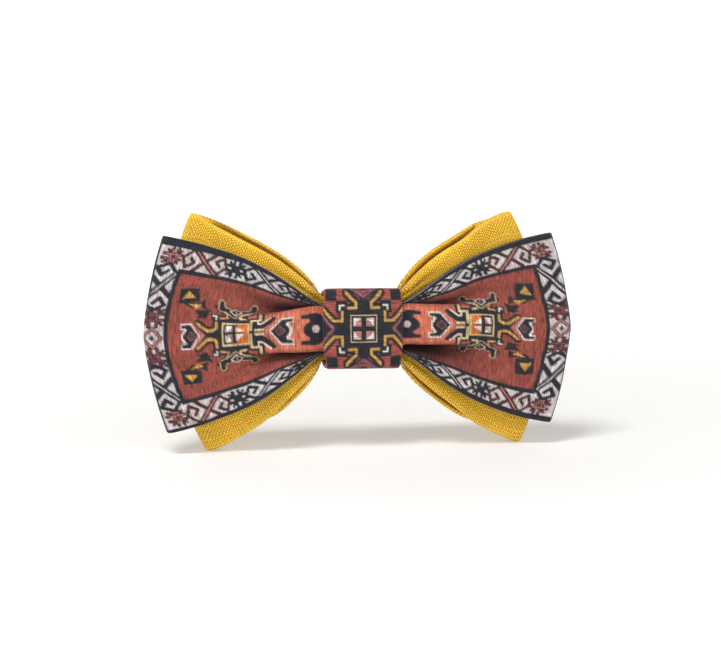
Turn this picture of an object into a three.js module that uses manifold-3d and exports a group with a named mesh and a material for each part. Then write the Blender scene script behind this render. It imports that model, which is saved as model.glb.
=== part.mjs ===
// A pre-tied double bow tie: a printed cotton bow in front of a taller plain bow, both pleated
// at the waist and bound by a knot, on a folded neck band that closes with a slide hook and an eye.
// Millimetres, +Z up, +X to the right as seen from the front, which faces -Y. While the pieces are
// built, the knot's middle is the origin; the assembly is then lifted to stand on its lower corners.
import * as THREE from "three";
import Module from "manifold-3d";
import { mergeVertices } from "three/addons/utils/BufferGeometryUtils.js";

const wasm = await Module();
wasm.setup();

// ---- Driving dimensions ----
const CENTRE_HEIGHT = 33.4; // the lower corners of the back bow to the middle of the knot
const DEPTH_CENTRE = 4.5; // half way from the knot's face to the hook's back

const CLOTH = 0.4; // one wall of a cover, turnings pressed flat
const PLY = 1.5; // a bow's strip: two walls and the interlining between them
const EASE = 0.2; // room between a cover's wall and its interlining
const PLY_PITCH = 1.8; // from one strip to the next where they are bound together
const END_GAP = 1.6; // between a strip's two ends, at the middle of its back
const THREAD_RADIUS = 0.15;

// Heights are half heights. A strip is `waist` high up to `pinch`, and opens to `corner` at `tip`;
// its folded outer end bulges `bulge` further than its corners.
const FRONT_BOW = {
  waist: 6.2, corner: 27.6, pinch: 9, tip: 52.6, bulge: 5.3, power: 1.5,
  waistFront: -3.2, outerFront: -4.8, outerBack: -1.4, edgeForward: 1, ridgeEnd: 36, ridgeLift: 1.4,
};
const BACK_BOW = {
  waist: 8.4, corner: 33.4, pinch: 11.6, tip: 43.7, bulge: 8.5, power: 2,
  waistFront: 1.2, outerFront: 1.2, outerBack: 3.3, edgeForward: 0, ridgeEnd: 24, ridgeLift: 0,
};
const RIDGE_AT_WAIST = 2; // how far the middle pleat stands forward under the knot
const RIDGE_GROWTH = 0.8; // and how much more it stands forward at the knot's edge
const RIDGE_FLAT = 2; // half height of the pleat's flat crest
const RIDGE_FOOT = 6.5; // half height of the pleat at its foot
const FLARE_START = 12; // where the strips leave the knot and begin to spread

const KNOT = { halfWidth: 11.5, halfHeight: 11.3, front: -8.6, back: 7.3, thickness: 1.6, corner: 2.4 };
const KNOT_SEAM = 0.6; // between the wrap's two turned ends, at the back

const BAND = { halfWidth: 9, thickness: 0.8, turn: 51, innerTurn: 3.5 };
const BAND_RUNS = [5, 8.9, 10.8, 13.3]; // depths of the band's four runs, from the knot back
const HOOK = { start: 26, length: 14, bar: 2, railInner: 9.4, railOuter: 11, plate: 1 };
const HOOK_TONGUE = { halfWidth: 4, length: 9, bend: 1.3, tip: 5.5 };
const HOOK_GAP = 0.3; // between the strap and the slide's bars
const EYE = { bar: -20, length: 8, halfHeight: 10.2, wire: 0.7, corner: 2 };
const HEM_LENGTH = 6; // strap turned back on itself at each of its ends

// ---- Small helpers ----
const smooth = (t) => THREE.MathUtils.smoothstep(t, 0, 1);
const mix = THREE.MathUtils.lerp;
const point = (x, y, z) => new THREE.Vector3(x, y, z);

function material(color, roughness, metalness = 0) {
  return new THREE.MeshStandardMaterial({ color, roughness, metalness });
}

const PRINTED_COTTON = material(0xb4604c, 0.9);
const PLAIN_LINEN = material(0xe0a024, 0.9);
const INTERLINING = material(0xeee6d8, 0.95);
const THREAD = material(0x8a4a34, 0.8);
const NICKEL = material(0xc8c8c4, 0.3, 1);

const bowTie = new THREE.Group();
const assembly = new THREE.Group();
assembly.position.set(0, -DEPTH_CENTRE, CENTRE_HEIGHT);
bowTie.add(assembly);

function addMesh(name, geometry, finish) {
  const mesh = new THREE.Mesh(geometry, finish);
  mesh.name = name;
  assembly.add(mesh);
}

// A mesh of those triangles, turned over if it would face inwards.
function facingOut(vertices, faces) {
  let volume = 0;
  for (const [a, b, c] of faces) {
    volume += vertices[a].dot(vertices[b].clone().cross(vertices[c]));
  }
  const order = volume < 0 ? faces.map(([a, b, c]) => [a, c, b]) : faces;
  const geometry = new THREE.BufferGeometry().setFromPoints(vertices);
  geometry.setIndex(order.flat());
  geometry.computeVertexNormals();
  return geometry;
}

// ---- Strips: a sheet with thickness, swept through its stations ----
// strip.at(station, lane, inset) gives the middle of the sheet and the way its outer face looks.
function ring(strip, station, halfThickness, inset) {
  const onFace = (lane, side) => {
    const { middle, normal } = strip.at(station, lane, inset);
    return middle.addScaledVector(normal, side * halfThickness);
  };
  const outer = strip.lanes.map((lane) => onFace(lane, 1));
  const inner = strip.lanes.map((lane) => onFace(lane, -1)).reverse();
  return [...outer, ...inner];
}

// The quads between two closed rows of vertices that start at `a` and `b`. Each splits along the
// diagonal that stands further forward, so sheets that lie on one another bend along the same lines.
function quads(vertices, a, b, count, turned) {
  const faces = [];
  for (let i = 0; i < count; i++) {
    const j = (i + 1) % count;
    const [p, q, r, s] = [a + i, a + j, b + j, b + i];
    const forward = vertices[p].y + vertices[r].y - vertices[q].y - vertices[s].y;
    const pair = forward < 1e-6 ? [[p, q, r], [p, r, s]] : [[p, q, s], [q, r, s]];
    faces.push(...(turned ? pair.map(([x, y, z]) => [x, z, y]) : pair));
  }
  return faces;
}

function solidStrip(strip, halfThickness, inset) {
  const vertices = strip.stations.flatMap((station) => ring(strip, station, halfThickness, inset));
  const size = 2 * strip.lanes.length;
  const last = strip.stations.length - 1;
  const faces = [];
  for (let i = 0; i < last; i++) {
    faces.push(...quads(vertices, i * size, (i + 1) * size, size, false));
  }
  for (let i = 0; i < strip.lanes.length - 1; i++) {
    const [a, b, c, d] = [i, i + 1, size - 2 - i, size - 1 - i];
    const end = last * size;
    faces.push([a, c, b], [a, d, c], [end + a, end + b, end + c], [end + a, end + c, end + d]);
  }
  return facingOut(vertices, faces);
}

// A tube of cloth, open at both ends of the strip.
function hollowStrip(strip, thickness) {
  const outer = strip.stations.flatMap((station) => ring(strip, station, thickness / 2, 0));
  const inner = strip.stations.flatMap((station) => ring(strip, station, thickness / 2 - CLOTH, CLOTH));
  const vertices = [...outer, ...inner];
  const size = 2 * strip.lanes.length;
  const last = strip.stations.length - 1;
  const start = outer.length;
  const faces = [];
  for (let i = 0; i < last; i++) {
    const [from, to] = [i * size, (i + 1) * size];
    faces.push(...quads(vertices, from, to, size, false));
    faces.push(...quads(vertices, start + from, start + to, size, true));
  }
  faces.push(...quads(vertices, 0, start, size, true));
  faces.push(...quads(vertices, last * size, start + last * size, size, false));
  return facingOut(vertices, faces);
}

function addCoveredStrip(name, strip, thickness, finish) {
  addMesh(name + "_cover", hollowStrip(strip, thickness), finish);
  addMesh(name + "_interlining", solidStrip(strip, thickness / 2 - CLOTH - EASE, CLOTH + EASE), INTERLINING);
}

function threadAlong(points, steps, radius = THREAD_RADIUS) {
  const section = new THREE.Shape(
    Array.from({ length: 6 }, (_, i) => {
      const turn = (i * Math.PI) / 3;
      return new THREE.Vector2(radius * Math.cos(turn), radius * Math.sin(turn));
    }),
  );
  const extrudePath = new THREE.CatmullRomCurve3(points);
  return new THREE.ExtrudeGeometry(section, { steps, extrudePath, bevelEnabled: false });
}

// ---- The bows ----
function halfHeight(bow, x) {
  const open = THREE.MathUtils.clamp((x - bow.pinch) / (bow.tip - bow.pinch), 0, 1);
  return mix(bow.waist, bow.corner, 1 - (1 - open) ** bow.power);
}

// How far the middle pleat stands forward, at a height z and a distance x from the middle.
function pleat(bow, x, z) {
  const height = RIDGE_AT_WAIST + RIDGE_GROWTH * smooth(x / FLARE_START)
    + bow.ridgeLift * smooth((x - FLARE_START) / 5);
  const along = 1 - smooth((x - FLARE_START) / (bow.ridgeEnd - FLARE_START));
  const across = 1 - smooth((Math.abs(z) - RIDGE_FLAT) / (RIDGE_FOOT - RIDGE_FLAT));
  return height * along * across;
}

function plyDepth(bow, isFront, x, lane, z) {
  const outward = smooth((x - FLARE_START) / (bow.tip - FLARE_START));
  if (!isFront) return mix(bow.waistFront + PLY_PITCH, bow.outerBack, outward) - pleat(bow, x, z);
  const edge = bow.edgeForward * smooth((x - FLARE_START) / 12) * smooth((Math.abs(lane) - 0.4) / 0.6);
  return mix(bow.waistFront, bow.outerFront, outward) - pleat(bow, x, z) - edge;
}

// One closed flat loop of strip: out along the back, round the fold, in along the front, and on.
function bowStrip(bow) {
  const stretch = [0, 6, 11, 14, 18, 24, 31, 40, 55].map((x) => (x / 55) * bow.tip);
  const inner = END_GAP / 2;
  const half = (side) => [
    ...[inner, ...stretch.slice(1)].map((x) => ({ side, front: false, x })),
    ...[3, 2, 1].map((step) => ({ side, fold: (step * Math.PI) / 4, x: bow.tip })),
    ...[...stretch].reverse().map((x) => ({ side, front: true, x })),
  ];
  const stations = [...half(1), ...half(-1).reverse().slice(1)];
  const at = ({ side, front, fold, x }, lane, inset) => {
    const top = halfHeight(bow, x);
    const z = Math.abs(lane) === 1 ? lane * (top - inset) : lane * top;
    const reach = x + bow.bulge * (1 - lane * lane) * (x / bow.tip);
    if (fold === undefined) {
      const middle = point(side * reach, plyDepth(bow, front, x, lane, z), z);
      return { middle, normal: point(0, front ? -1 : 1, 0) };
    }
    const near = plyDepth(bow, true, x, lane, z);
    const far = plyDepth(bow, false, x, lane, z);
    const radius = (far - near) / 2;
    const normal = point(side * Math.sin(fold), -Math.cos(fold), 0);
    const middle = point(side * reach, (near + far) / 2, z).addScaledVector(normal, radius);
    return { middle, normal };
  };
  return { stations, lanes: [-1, -0.6, -0.25, 0, 0.25, 0.6, 1], at };
}

// The thread that joins a strip's two ends runs down the gap between them.
function endStitch(bow) {
  const reach = bow.waist - 0.8;
  const points = Array.from({ length: 9 }, (_, i) => {
    const z = mix(-reach, reach, i / 8);
    return point(0.15 * (i % 2 ? 1 : -1), plyDepth(bow, false, 0, 0, z), z);
  });
  return threadAlong(points, 16);
}

function addBow(name, bow, finish) {
  addCoveredStrip(name, bowStrip(bow), PLY, finish);
  addMesh(name + "_end_stitch", endStitch(bow), THREAD);
}

// ---- The knot and the binding under it ----
// Stations round a rounded box in the plane of depth and height, from the back seam over the top.
function roundTheWaist({ front, back, halfHeight: top, corner }, seam) {
  const stations = [{ y: back, z: seam / 2, turn: 0 }];
  const centres = [
    [back - corner, top - corner],
    [front + corner, top - corner],
    [front + corner, corner - top],
    [back - corner, corner - top],
  ];
  centres.forEach(([y, z], quarter) => {
    for (let step = 0; step <= 4; step++) {
      const turn = ((quarter + step / 4) * Math.PI) / 2;
      stations.push({ y: y + corner * Math.cos(turn), z: z + corner * Math.sin(turn), turn });
    }
  });
  stations.push({ y: back, z: -seam / 2, turn: 2 * Math.PI });
  return stations;
}

function knotStrip() {
  const inward = KNOT.thickness / 2;
  const middleLine = {
    front: KNOT.front + inward,
    back: KNOT.back - inward,
    halfHeight: KNOT.halfHeight - inward,
    corner: KNOT.corner - inward,
  };
  const at = ({ y, z, turn }, lane, inset) => ({
    middle: point(lane * (KNOT.halfWidth - inset), y, z),
    normal: point(0, Math.cos(turn), Math.sin(turn)),
  });
  return { stations: roundTheWaist(middleLine, KNOT_SEAM), lanes: [-1, 1], at };
}

// Three turns of thread bind the two bows before the knot goes on.
function waistThread() {
  const turns = 3;
  const bundle = { front: -6.4, back: 4.2, halfHeight: 8.95, corner: 0.9 };
  const corners = roundTheWaist(bundle, 0).slice(1, -1);
  const loop = corners.flatMap((from, i) => {
    const to = corners[(i + 1) % corners.length];
    return [0, 1 / 3, 2 / 3].map((t) => ({ y: mix(from.y, to.y, t), z: mix(from.z, to.z, t) }));
  });
  const count = turns * loop.length;
  const points = Array.from({ length: count }, (_, i) => {
    const { y, z } = loop[i % loop.length];
    return point(mix(-1.6, 1.6, i / count), y, z);
  });
  return threadAlong(points, 120);
}

// Slip stitches that zigzag over the wrap's back seam.
function knotSeamStitch() {
  const lift = KNOT.back + HOOK_GAP + THREAD_RADIUS;
  const points = Array.from({ length: 15 }, (_, i) => point(mix(-9.8, 9.8, i / 14), lift, i % 2 ? 1.1 : -1.1));
  return threadAlong(points, 56);
}

// ---- The neck band, folded into a flat hank behind the knot ----
function halfTurn(stations, x, from, to, side) {
  const radius = (to - from) / 2;
  for (let step = 0; step <= 6; step++) {
    const turn = (step * Math.PI) / 6;
    stations.push({
      x: x + side * radius * Math.sin(turn),
      y: from + radius * (1 - Math.cos(turn)),
      normal: point(side * Math.sin(turn), -Math.cos(turn), 0),
    });
  }
}

// One side of the hank, from the knot outwards to the strap's end, which is turned back at endX
// round something of that radius and hemmed.
function hankSide(side, endX, endRadius) {
  const [tunnel, second, third, last] = BAND_RUNS;
  const stations = [{ x: side * KNOT.halfWidth, y: tunnel, normal: point(0, -1, 0) }];
  halfTurn(stations, side * BAND.turn, tunnel, second, side);
  const back = [];
  halfTurn(back, side * BAND.innerTurn, second, third, -side);
  stations.push(...back.map((s) => ({ ...s, normal: s.normal.negate() })));
  halfTurn(stations, side * BAND.turn, third, last, side);
  const end = [];
  halfTurn(end, endX, last, last + 2 * endRadius, -side);
  stations.push(...end.map((s) => ({ ...s, normal: s.normal.negate() })));
  const hem = last + BAND.thickness + HOOK_GAP;
  const slope = 2 * (endRadius > BAND.thickness);
  stations.push({ x: endX + side * (1 + slope), y: hem, normal: point(0, -1, 0) });
  stations.push({ x: endX + side * (slope + HEM_LENGTH), y: hem, normal: point(0, -1, 0) });
  return stations;
}

const HEM_RADIUS = (BAND.thickness + HOOK_GAP) / 2;
const EYE_LOOP_RADIUS = EYE.wire + HOOK_GAP + BAND.thickness / 2;
const STRAP_END = -4; // the hook side's free end, past the middle

function bandStrip() {
  const eyeSide = hankSide(-1, EYE.bar, EYE_LOOP_RADIUS);
  const hookSide = hankSide(1, STRAP_END, HEM_RADIUS);
  const stations = [...eyeSide.reverse(), ...hookSide];
  const at = ({ x, y, normal }, lane) => ({
    middle: point(x, y, lane * BAND.halfWidth),
    normal: normal.clone(),
  });
  return { stations, lanes: [-1, 1], at };
}

// A row of stitches through a hem, seen as a wavy line on its back.
function hemStitch(x) {
  const y = BAND_RUNS[3] + BAND.thickness * 1.5 + 2 * HOOK_GAP + THREAD_RADIUS;
  const points = Array.from({ length: 13 }, (_, i) => {
    return point(x + (i % 2 ? 0.5 : -0.5), y, mix(-8, 8, i / 12));
  });
  return threadAlong(points, 48);
}

// ---- The hook and the eye ----
function solid(geometry) {
  const bare = geometry.index ? geometry.toNonIndexed() : geometry.clone();
  bare.deleteAttribute("normal");
  bare.deleteAttribute("uv");
  const merged = mergeVertices(bare, 1e-4);
  return new wasm.Manifold(new wasm.Mesh({
    numProp: 3,
    vertProperties: merged.attributes.position.array,
    triVerts: new Uint32Array(merged.index.array),
  }));
}

function joined(geometries) {
  const whole = geometries.map(solid).reduce((sum, next) => sum.add(next));
  const { vertProperties, triVerts } = whole.getMesh();
  const geometry = new THREE.BufferGeometry();
  geometry.setAttribute("position", new THREE.BufferAttribute(vertProperties, 3));
  geometry.setIndex(new THREE.BufferAttribute(triVerts, 1));
  geometry.computeVertexNormals();
  return geometry;
}

function box([x0, x1], [y0, y1], [z0, z1]) {
  return new THREE.BoxGeometry(x1 - x0, y1 - y0, z1 - z0)
    .translate((x0 + x1) / 2, (y0 + y1) / 2, (z0 + z1) / 2);
}

// A three-bar slide whose middle bar runs in front of the strap and whose outer bars run behind
// it. Its tongue is bent back over itself to catch the eye.
function slideHook() {
  const strapFront = BAND_RUNS[3] - BAND.thickness / 2 - HOOK_GAP;
  const strapBack = BAND_RUNS[3] + BAND.thickness / 2 + HOOK_GAP;
  const front = [strapFront - HOOK.plate, strapFront];
  const back = [strapBack, strapBack + HOOK.plate];
  const { start, length, bar, railInner, railOuter } = HOOK;
  const barHeight = [-railInner - 0.5, railInner + 0.5];
  const middle = start + (length - bar) / 2;
  const rail = (side) => {
    const heights = side > 0 ? [railInner, railOuter] : [-railOuter, -railInner];
    return box([start, start + length], [front[0], back[1]], heights);
  };
  const plateMiddle = (back[0] + back[1]) / 2;
  const bendX = start - HOOK_TONGUE.length;
  const stations = [{ x: start + bar, y: plateMiddle, normal: point(0, 1, 0) }];
  const bend = [];
  halfTurn(bend, bendX, plateMiddle, plateMiddle + 2 * HOOK_TONGUE.bend, -1);
  stations.push(...bend.map((s) => ({ ...s, normal: s.normal.negate() })));
  stations.push({
    x: bendX + HOOK_TONGUE.tip,
    y: plateMiddle + 2 * HOOK_TONGUE.bend,
    normal: point(0, -1, 0),
  });
  const at = ({ x, y, normal }, lane) => ({
    middle: point(x, y, lane * HOOK_TONGUE.halfWidth),
    normal: normal.clone(),
  });
  const tongue = solidStrip({ stations, lanes: [-1, 1], at }, HOOK.plate / 2, 0);
  return joined([
    rail(1),
    rail(-1),
    box([start, start + bar], back, barHeight),
    box([start + length - bar, start + length], back, barHeight),
    box([middle, middle + bar], front, barHeight),
    tongue,
  ]);
}

// A wire ring, rounded at its corners, in the plane of x and z.
function wireEye() {
  const depth = BAND_RUNS[3] + EYE_LOOP_RADIUS;
  const { bar, length, halfHeight: top, corner, wire } = EYE;
  const centres = [
    [bar + length - corner, top - corner],
    [bar + corner, top - corner],
    [bar + corner, corner - top],
    [bar + length - corner, corner - top],
  ];
  const path = centres.flatMap(([x, z], quarter) => {
    return [0, 1, 2, 3, 4].map((step) => {
      const turn = ((quarter + step / 4) * Math.PI) / 2;
      return { x, z, turn };
    });
  });
  const sides = 8;
  const vertices = path.flatMap(({ x, z, turn }) => {
    return Array.from({ length: sides }, (_, i) => {
      const round = (i * 2 * Math.PI) / sides;
      const reach = corner + wire * Math.cos(round);
      return point(x + reach * Math.cos(turn), depth + wire * Math.sin(round), z + reach * Math.sin(turn));
    });
  });
  const faces = path.flatMap((_, i) => {
    return quads(vertices, i * sides, ((i + 1) % path.length) * sides, sides, false);
  });
  return facingOut(vertices, faces);
}

// ---- Assembly ----
addBow("front_bow", FRONT_BOW, PRINTED_COTTON);
addBow("back_bow", BACK_BOW, PLAIN_LINEN);
addMesh("waist_thread", waistThread(), THREAD);
addCoveredStrip("knot", knotStrip(), KNOT.thickness, PRINTED_COTTON);
addMesh("knot_seam_stitch", knotSeamStitch(), THREAD);
addMesh("neck_band", solidStrip(bandStrip(), BAND.thickness / 2, 0), PLAIN_LINEN);
addMesh("eye_hem_stitch", hemStitch(EYE.bar - 5.5), THREAD);
addMesh("strap_end_stitch", hemStitch(STRAP_END + 3.5), THREAD);
addMesh("slide_hook", slideHook(), NICKEL);
addMesh("band_eye", wireEye(), NICKEL);

export default bowTie;
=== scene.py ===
"""The looks of a pre-tied double bow tie: pleated cloth, knot, folded neck band and metal pieces.

Shapes are worked out in millimetres round the middle of the knot: x to the right seen from the
front, y away from the viewer, z up. `place` turns them into metres in the shared frame.
"""

import math

import bmesh
import bpy
import numpy as np
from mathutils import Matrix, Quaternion, Vector


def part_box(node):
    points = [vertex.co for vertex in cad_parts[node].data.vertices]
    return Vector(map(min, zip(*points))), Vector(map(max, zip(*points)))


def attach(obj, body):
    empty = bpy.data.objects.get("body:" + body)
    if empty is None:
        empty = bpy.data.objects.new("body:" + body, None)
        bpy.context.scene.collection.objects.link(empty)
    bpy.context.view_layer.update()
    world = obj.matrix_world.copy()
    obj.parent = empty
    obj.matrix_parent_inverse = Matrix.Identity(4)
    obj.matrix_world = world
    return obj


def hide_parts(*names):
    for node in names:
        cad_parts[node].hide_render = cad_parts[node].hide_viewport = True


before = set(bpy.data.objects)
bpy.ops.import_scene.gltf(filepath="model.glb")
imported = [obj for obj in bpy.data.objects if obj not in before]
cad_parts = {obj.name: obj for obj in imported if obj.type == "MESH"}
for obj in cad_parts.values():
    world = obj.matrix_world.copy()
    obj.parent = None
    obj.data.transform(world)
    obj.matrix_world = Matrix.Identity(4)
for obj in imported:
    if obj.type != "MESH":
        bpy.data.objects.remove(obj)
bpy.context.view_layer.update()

MM = 0.001


def node_box(name):
    """A CAD node's lowest and highest corners, in millimetres."""
    low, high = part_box(name)
    return np.array(low) / MM, np.array(high) / MM


def half_size(name):
    """Half of a CAD node's width, depth and height, in millimetres."""
    low, high = node_box(name)
    return (high - low) / 2


KNOT_FRONT = -8.6  # the knot's faces, measured from the point that all shapes are drawn round
KNOT_BACK = 7.3
ORIGIN = sum(node_box("knot_cover")) / 2 - (0, (KNOT_FRONT + KNOT_BACK) / 2, 0)
FRONT_HALF_WIDTH, _, FRONT_HALF_HEIGHT = half_size("front_bow_cover")
BACK_HALF_HEIGHT = half_size("back_bow_cover")[2]
KNOT_HALF_WIDTH, _, KNOT_HALF_HEIGHT = half_size("knot_cover")
BAND_HALF_WIDTH = half_size("neck_band")[2]


def place(points):
    """Millimetres round the knot's middle to metres in the shared frame."""
    return (np.asarray(points, dtype=float) + ORIGIN) * MM


# ---- camera, light and floor

VIEW_AZIMUTH = -6.5  # degrees
VIEW_ELEVATION = 4.5
VIEW_ROLL = -0.55
VIEW_DISTANCE = 330.0  # millimetres
SENSOR_WIDTH = 36.0
PICTURE_WIDTH = 207.4  # millimetres that the picture spans at the object
AIM = (0.0006, 0.0, 0.0330)  # metres, like all that follows on the studio
NEAREST = 0.01
LIGHT_AIM = (0, 0, 0.03)
LIGHTS = {  # place, size of the disk, and power in watts
    "key": ((-0.2, -0.3, 0.62), 0.26, 3.0),
    "fill": ((0.5, -0.5, 0.3), 0.5, 0.35),
}
WORLD_COLOUR = (1, 0.99, 0.98, 1)
WORLD_STRENGTH = 0.14
BACKDROP_SIDES = 48
BACKDROP_PROFILE = (  # distance from the middle, and height
    (0.3, 0.0), (0.75, 0.0), (0.95, 0.03), (1.1, 0.12), (1.2, 0.3), (1.2, 1.0),
)


def new_object(name, data):
    made = bpy.data.objects.new(name, data)
    bpy.context.scene.collection.objects.link(made)
    return made


def add_camera():
    azimuth, elevation = math.radians(VIEW_AZIMUTH), math.radians(VIEW_ELEVATION)
    aim = Vector(AIM)
    away = Vector((
        math.sin(azimuth) * math.cos(elevation),
        -math.cos(azimuth) * math.cos(elevation),
        math.sin(elevation),
    ))
    data = bpy.data.cameras.new("camera")
    data.sensor_width = SENSOR_WIDTH
    data.lens = SENSOR_WIDTH * VIEW_DISTANCE / PICTURE_WIDTH
    data.clip_start = NEAREST
    camera = new_object("camera", data)
    camera.location = aim + away * VIEW_DISTANCE * MM
    roll = Quaternion((0, 0, 1), math.radians(VIEW_ROLL))
    camera.rotation_euler = ((-away).to_track_quat("-Z", "Y") @ roll).to_euler()
    bpy.context.scene.camera = camera


def add_area_light(name, location, size, power):
    data = bpy.data.lights.new(name, "AREA")
    data.shape = "DISK"
    data.size = size
    data.energy = power
    light = new_object(name, data)
    light.location = location
    aim = Vector(LIGHT_AIM) - Vector(location)
    light.rotation_euler = aim.to_track_quat("-Z", "Y").to_euler()


def add_backdrop():
    """A wide bowl of paper: a flat floor that curves up all round."""
    corners = [(0.0, 0.0, 0.0)]
    for reach, height in BACKDROP_PROFILE:
        for i in range(BACKDROP_SIDES):
            turn = i * 2 * math.pi / BACKDROP_SIDES
            corners.append((reach * math.cos(turn), reach * math.sin(turn), height))
    faces = [[0, 1 + i, 1 + (i + 1) % BACKDROP_SIDES] for i in range(BACKDROP_SIDES)]
    faces += tube_faces(1, len(BACKDROP_PROFILE), BACKDROP_SIDES, turned=True)
    mesh = bpy.data.meshes.new("backdrop")
    mesh.from_pydata(corners, [], faces)
    mesh.shade_smooth()
    mesh.materials.append(backdrop_paper())
    new_object("backdrop", mesh)


def add_studio():
    world = bpy.data.worlds.new("studio")
    world.use_nodes = True
    background = world.node_tree.nodes["Background"]
    background.inputs["Color"].default_value = WORLD_COLOUR
    background.inputs["Strength"].default_value = WORLD_STRENGTH
    bpy.context.scene.world = world
    for name, settings in LIGHTS.items():
        add_area_light(name, *settings)
    add_backdrop()
    bpy.context.scene.view_settings.view_transform = "Standard"


# ---- curves through a few points


def curve(knots, values, at):
    """A smooth curve that never overshoots, read at `at`. Each value may be an array like `at`."""
    knots = np.asarray(knots, dtype=float)
    at = np.clip(np.asarray(at, dtype=float), knots[0], knots[-1])
    values = np.asarray(values, dtype=float)
    values = values.reshape(values.shape + (1,) * (at.ndim + 1 - values.ndim))
    step = np.diff(knots).reshape((-1,) + (1,) * at.ndim)
    slope = np.diff(values, axis=0) / step
    tangent = np.zeros_like(values)
    before, after = slope[:-1], slope[1:]
    same_way = before * after > 0
    total = np.where(same_way, before + after, 1.0)
    tangent[1:-1] = np.where(same_way, 2 * before * after / total, 0.0)
    tangent[0], tangent[-1] = slope[0], slope[-1]
    i = np.clip(np.searchsorted(knots, at, side="right") - 1, 0, len(knots) - 2)
    width = knots[i + 1] - knots[i]
    t = (at - knots[i]) / width
    low, high = pick(values, i), pick(values, i + 1)
    rise, fall = pick(tangent, i) * width, pick(tangent, i + 1) * width
    return (
        low * (1 + 2 * t) * (1 - t) ** 2
        + rise * t * (1 - t) ** 2
        + high * t * t * (3 - 2 * t)
        + fall * t * t * (t - 1)
    )


def pick(table, index):
    """For each point, the entry of `table` that `index` names."""
    table = np.broadcast_to(table, (len(table),) + index.shape)
    return np.take_along_axis(table, index[None], axis=0)[0]


# Where a cross-section is read to soften its corners, and with what weight.
SOFTENING = ((-1.5, 0.06), (-1.0, 0.12), (-0.5, 0.2), (0.0, 0.24), (0.5, 0.2), (1.0, 0.12), (1.5, 0.06))
MARGIN = 4  # how far a cross-section is carried on past its last row


def section(rows, tables, lane, x, sign, soften):
    """Reads a cross-section that is given at a few rows, counted up the cloth from its middle.

    The first of the `tables` holds distances from the knot, and the others each row's values
    there. The lower half mirrors the upper, with the sign `sign`. Corners are rounded over
    about `soften` millimetres.
    """
    up = [curve(tables[0], values, np.abs(x)) for values in tables[1:]]
    up.append(up[-1] + (up[-1] - up[-2]) / (rows[-1] - rows[-2]) * MARGIN)
    rows = list(rows) + [rows[-1] + MARGIN]
    heights = np.array([-r for r in rows[:0:-1]] + rows)
    values = np.stack([sign * u for u in up[:0:-1]] + up)
    total = np.zeros(x.shape)
    for offset, weight in SOFTENING:
        at = np.clip(lane + offset * soften, heights[0], heights[-1])
        i = np.clip(np.searchsorted(heights, at, side="right") - 1, 0, len(heights) - 2)
        t = (at - heights[i]) / (heights[i + 1] - heights[i])
        total += weight * (pick(values, i) * (1 - t) + pick(values, i + 1) * t)
    return total


def smooth(t):
    t = np.clip(t, 0.0, 1.0)
    return t * t * (3 - 2 * t)


def grows(value, start, span):
    """0 up to `start`, then smoothly up to 1 over `span`."""
    return smooth((value - start) / span)


def fades(value, start, span):
    return 1 - grows(value, start, span)


def distance_along(path):
    step = np.hypot(*np.diff(path, axis=0).T)
    return np.concatenate([[0], np.cumsum(step)])


def ripple(a, b, seed, waves=5, longest=40.0):
    """Smooth irregularity between -1 and 1 over a sheet, the same on every run."""
    rng = np.random.default_rng(seed)
    total = np.zeros(np.broadcast(a, b).shape)
    for _ in range(waves):
        length = longest * rng.uniform(0.35, 1.0)
        angle = rng.uniform(0, 2 * math.pi)
        phase = rng.uniform(0, 2 * math.pi)
        total += np.sin((a * math.cos(angle) + b * math.sin(angle)) * 2 * math.pi / length + phase)
    return total / waves


# ---- strips of cloth


def edge_lanes(half_width, half_thickness, spacing, steps=5):
    """Lane positions across a strip and the half thickness at each: flat, with round edges."""
    flat = half_width - half_thickness
    count = max(2, int(round(2 * flat / spacing)))
    inner = np.linspace(-flat, flat, count + 1)
    turn = np.linspace(0, math.pi / 2, steps + 1)[1:]
    edge = flat + half_thickness * np.sin(turn)
    thick = half_thickness * np.cos(turn)
    thick[-1] = 0.0
    lanes = np.concatenate([-edge[::-1], inner, edge])
    half = np.concatenate([thick[::-1], np.full(count + 1, half_thickness), thick])
    return lanes, half, steps


def unit(vectors):
    return vectors / np.maximum(np.linalg.norm(vectors, axis=-1, keepdims=True), 1e-9)


def sheet_normals(middle):
    return unit(np.cross(np.gradient(middle, axis=0), np.gradient(middle, axis=1)))


def blurred(field, passes):
    for _ in range(passes):
        padded = np.concatenate([field[:, :1], field, field[:, -1:]], axis=1)
        field = (padded[:, :-2] + 2 * field + padded[:, 2:]) / 4
    return field


def tube_faces(start, stations, ring, turned=False):
    """The faces between rings of vertices that follow each other from `start` on."""
    s = start + np.arange(stations - 1)[:, None] * ring
    i = np.arange(ring)[None, :]
    j = (i + 1) % ring
    corners = [s + i, s + j, s + ring + j, s + ring + i]
    return np.stack(corners[::-1] if turned else corners, axis=-1).reshape(-1, 4).tolist()


LEAST_HOLLOW = 0.05  # half the narrowest gap left inside a hollow sleeve


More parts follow.
